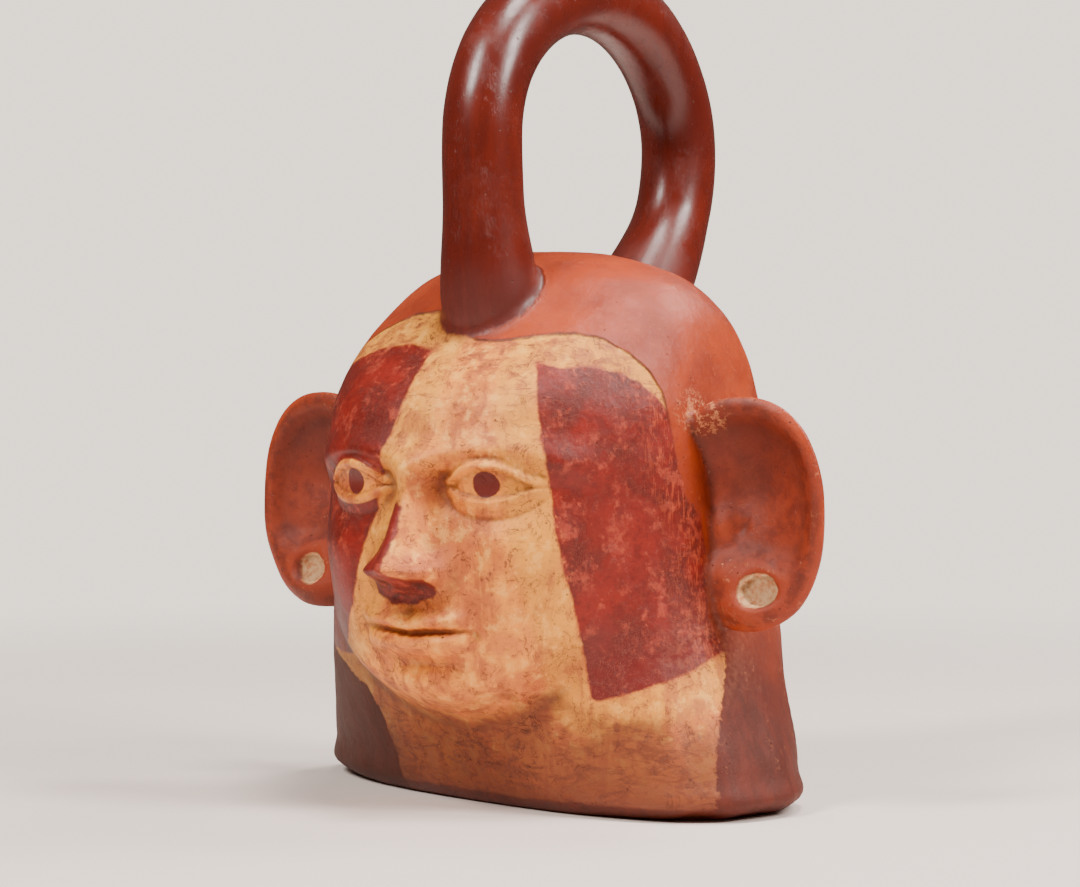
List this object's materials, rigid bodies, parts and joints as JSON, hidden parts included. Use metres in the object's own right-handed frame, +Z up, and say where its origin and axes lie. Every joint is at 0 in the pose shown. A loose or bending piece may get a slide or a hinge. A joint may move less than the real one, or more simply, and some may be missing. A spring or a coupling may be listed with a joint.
{
  "type": "stirrup spout vessel",
  "caption": "Hollow fired-clay stirrup spout vessel in the form of a head with cupped ears, standing on a flat foot, open through the spout.",
  "frame": {"origin": "a point of the flat underside, near its middle and below the middle plane of the face", "axes": "+Z up through the spout, the face looks along -Y, +X is the head's left"},
  "size_m": [0.2092, 0.1726, 0.3122],
  "materials": {
    "slip_painted_clay": "burnished orange-red and dark red slip with cream painted areas"
  },
  "bodies": {
    "root": {"vessel": "slip_painted_clay"}
  },
  "joints": []
}
